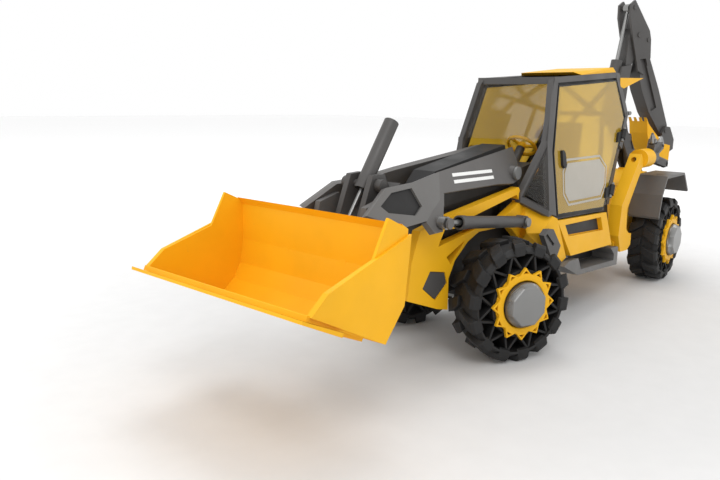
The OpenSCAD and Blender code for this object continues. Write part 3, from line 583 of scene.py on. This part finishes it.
def build_claws():
    """Three metal spikes on each claw, each in a collar."""
    for name, side in SIDES:
        spikes = bmesh.new()
        collars = bmesh.new()
        for (x, y, z), turn in CLAW_TIPS:
            start = at(x, side * y, z)
            way = Vector((math.sin(math.radians(turn)), 0, math.cos(math.radians(turn)))) * MM
            add_turned(spikes, start, start + way * SPIKE_LONG, SPIKE_PROFILE)
            add_turned(collars, start - way * COLLAR_BACK, start + way * COLLAR_FRONT, COLLAR_PROFILE)
        piece(f"claw_{name}_spikes", spikes, f"claw_{name}", STEEL, "bright_steel", 0.15, True)
        piece(f"claw_{name}_collars", collars, f"claw_{name}", DEEP, "charcoal", 0.15)


# ------------------------------------------------------------------ stage
FLOOR_HALF = 6
SPECKS = 60.0
CAMERA_PLACE = at(663.6, 243.7, 164.2)
CAMERA_YAW, CAMERA_PITCH, CAMERA_ROLL = math.radians(40.95), math.radians(11.82), math.radians(0.88)
CAMERA_LENS = 32.77
# Name, place, target, size in metres and power in watts
LIGHTS = (("key", (0.9, 0.9, 1.5), (0.05, 0, 0.08), 0.7, 7),
          ("front", (1.7, 0.1, 0.9), (0.1, 0, 0.08), 0.9, 3.5),
          ("top", (-0.2, -0.3, 1.9), (0, 0, 0.1), 0.9, 9))


def build_stage():
    """A pale floor with a painted shadow, a little darker under the toy than far from it."""
    mesh = bmesh.new()
    for x, y in ((-1, -1), (1, -1), (1, 1), (-1, 1)):
        mesh.verts.new((x * FLOOR_HALF, y * FLOOR_HALF, 0))
    mesh.faces.new(mesh.verts)
    data = bpy.data.meshes.new("floor")
    mesh.to_mesh(data)
    mesh.free()
    floor = bpy.data.objects.new("floor", data)
    bpy.context.scene.collection.objects.link(floor)
    material, nodes, links = new_material("pale_floor")
    coords = nodes.new("ShaderNodeTexCoord")
    reach = nodes.new("ShaderNodeVectorMath")
    reach.operation = "LENGTH"
    links.new(coords.outputs["Object"], reach.inputs[0])
    # Painted shadow: the floor's colour darkens towards the toy
    painted_floor_shadow = ramp(nodes, links, reach.outputs["Value"], [(0.20, 0.64), (0.70, 0.97)])
    speck = ramp(nodes, links, noise(nodes, links, SPECKS), [(0.3, 0.97), (0.7, 1.0)])
    mix = nodes.new("ShaderNodeMix")
    mix.data_type = "RGBA"
    mix.blend_type = "MULTIPLY"
    mix.inputs["Factor"].default_value = 1.0
    links.new(painted_floor_shadow, mix.inputs["A"])
    links.new(speck, mix.inputs["B"])
    links.new(mix.outputs["Result"], nodes["Principled BSDF"].inputs["Base Color"])
    nodes["Principled BSDF"].inputs["Roughness"].default_value = 0.75
    data.materials.append(material)


def area_light(name, place, target, size, power):
    data = bpy.data.lights.new(name, "AREA")
    data.shape = "DISK"
    data.size = size
    data.energy = power
    lamp = bpy.data.objects.new(name, data)
    lamp.location = place
    lamp.rotation_euler = (Vector(target) - Vector(place)).to_track_quat("-Z", "Y").to_euler()
    bpy.context.scene.collection.objects.link(lamp)


def build_lights():
    world = bpy.data.worlds.new("studio")
    world.use_nodes = True
    world.node_tree.nodes["Background"].inputs["Color"].default_value = (1.0, 1.0, 1.0, 1)
    world.node_tree.nodes["Background"].inputs["Strength"].default_value = 1.0
    bpy.context.scene.world = world
    bpy.context.scene.view_settings.view_transform = "Standard"
    for light in LIGHTS:
        area_light(*light)


def build_camera():
    yaw, pitch, roll = CAMERA_YAW, CAMERA_PITCH, CAMERA_ROLL
    forward = Vector((-math.cos(yaw) * math.cos(pitch), -math.sin(yaw) * math.cos(pitch), -math.sin(pitch)))
    right = forward.cross(Vector((0, 0, 1))).normalized()
    above = right.cross(forward)
    rolled_right = right * math.cos(roll) + above * math.sin(roll)
    rolled_above = above * math.cos(roll) - right * math.sin(roll)
    turn = Matrix((rolled_right, rolled_above, -forward)).transposed().to_4x4()
    data = bpy.data.cameras.new("camera")
    data.sensor_width = 36
    data.lens = CAMERA_LENS
    data.clip_start = 0.01
    camera = bpy.data.objects.new("camera", data)
    camera.matrix_world = Matrix.Translation(CAMERA_PLACE) @ turn
    bpy.context.scene.collection.objects.link(camera)
    bpy.context.scene.camera = camera


build_camera()
build_stage()
build_lights()
dress_cad_nodes()
build_wheels()
build_doors()
build_side_prints_and_painted_shade()
build_claws()
